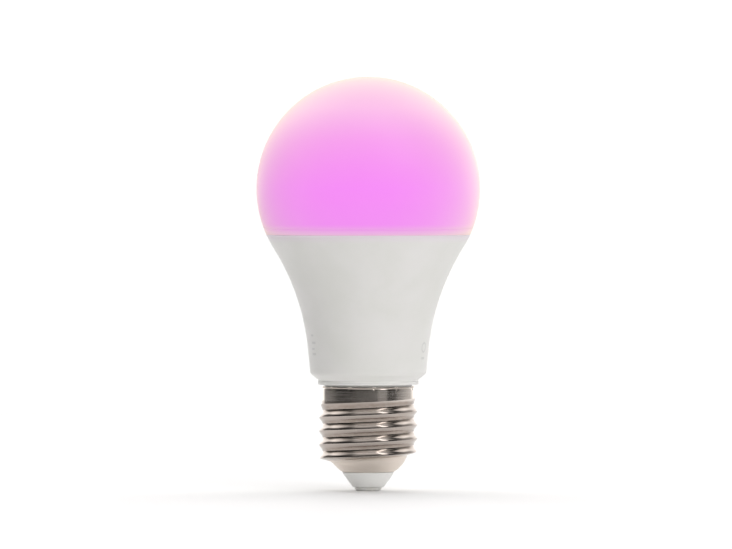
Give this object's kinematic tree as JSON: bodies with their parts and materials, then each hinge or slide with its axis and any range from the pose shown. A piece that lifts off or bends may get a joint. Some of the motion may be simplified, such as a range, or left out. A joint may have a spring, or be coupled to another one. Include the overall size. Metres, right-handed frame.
{
  "type": "smart light bulb",
  "caption": "Globe-shaped LED light bulb with a milky dome, flared white housing, metal Edison screw cap and a radio-controlled colour LED engine inside.",
  "frame": {"origin": "middle of the flat under the centre contact, on the bulb's axis", "axes": "+Z along the axis from the cap to the dome, -Y towards the viewer in front"},
  "size_m": [0.0594, 0.0594, 0.11],
  "materials": {
    "milky_diffuser": "milky polycarbonate, satin, lit from inside in pink",
    "white_silicone": "soft white silicone",
    "housing_plastic": "white, fine moulded texture",
    "heat_sink_aluminium": "drawn, satin",
    "led_board_mask": "aluminium core under white solder mask",
    "screw_steel": "zinc plated",
    "led_package_plastic": "white moulding compound",
    "warm_phosphor": "orange-yellow phosphor in silicone",
    "cool_phosphor": "lemon phosphor in silicone",
    "clear_resin": "clear encapsulant",
    "chip_epoxy": "black moulding compound",
    "resistor_body": "black glaze with tinned ends",
    "ivory_nylon": "natural nylon",
    "gold_plate": "gold flash",
    "black_nylon": "black nylon",
    "blue_circuit_board": "blue solder mask on glass laminate",
    "tinplate": "tin plated sheet",
    "antenna_copper": "copper track",
    "tinned_metal": "bright tin",
    "green_circuit_board": "green solder mask on glass laminate",
    "capacitor_sleeve_blue": "shrunk sleeve",
    "capacitor_sleeve_grey": "shrunk sleeve",
    "ferrite": "ground ferrite",
    "phenolic": "phenolic moulding",
    "winding_tape": "yellow polyester tape",
    "shrink_sleeve": "black shrunk sleeve",
    "film_capacitor_epoxy": "dipped red epoxy",
    "varistor_epoxy": "dipped blue epoxy",
    "resistor_lacquer": "lacquered, with colour bands",
    "capacitor_ceramic": "bare ceramic with tinned ends",
    "solder": "bright solder",
    "red_wire_pvc": "extruded sleeve",
    "white_wire_pvc": "extruded sleeve",
    "copper_wire": "tinned copper strand",
    "nickel_shell": "polished nickel plate",
    "insulator_plastic": "white moulding",
    "contact_metal": "nickel plate"
  },
  "bodies": {
    "root": {"diffuser_dome": "milky_diffuser", "dome_sealant": "white_silicone", "housing_shell": "housing_plastic", "heat_sink_cup": "heat_sink_aluminium", "led_board": "led_board_mask", "led_board_screws": "screw_steel", "warm_white_led_packages": "led_package_plastic", "warm_white_phosphor": "warm_phosphor", "cool_white_led_packages": "led_package_plastic", "cool_white_phosphor": "cool_phosphor", "colour_led_packages": "led_package_plastic", "colour_led_lenses": "clear_resin", "led_current_chips": "chip_epoxy", "led_board_resistors": "resistor_body", "led_board_socket": "ivory_nylon", "header_pins": "gold_plate", "header_base": "black_nylon", "wifi_board": "blue_circuit_board", "wifi_shield": "tinplate", "wifi_antenna": "antenna_copper", "wifi_solder_pins": "tinned_metal", "driver_board": "green_circuit_board", "input_capacitor": "capacitor_sleeve_blue", "output_capacitor": "capacitor_sleeve_grey", "transformer_core": "ferrite", "transformer_bobbin": "phenolic", "transformer_winding": "winding_tape", "transformer_pins": "tinned_metal", "input_inductor": "shrink_sleeve", "film_capacitor": "film_capacitor_epoxy", "varistor": "varistor_epoxy", "fuse_resistor": "resistor_lacquer", "bridge_rectifier": "chip_epoxy", "driver_chip": "chip_epoxy", "diodes": "chip_epoxy", "voltage_regulator": "chip_epoxy", "chip_resistors": "resistor_body", "chip_capacitors": "capacitor_ceramic", "chip_leads": "tinned_metal", "component_leads": "tinned_metal", "solder_joints": "solder", "live_wire": "red_wire_pvc", "neutral_wire": "white_wire_pvc", "wire_conductors": "copper_wire", "screw_shell": "nickel_shell", "base_insulator": "insulator_plastic", "centre_contact": "contact_metal"}
  },
  "joints": []
}
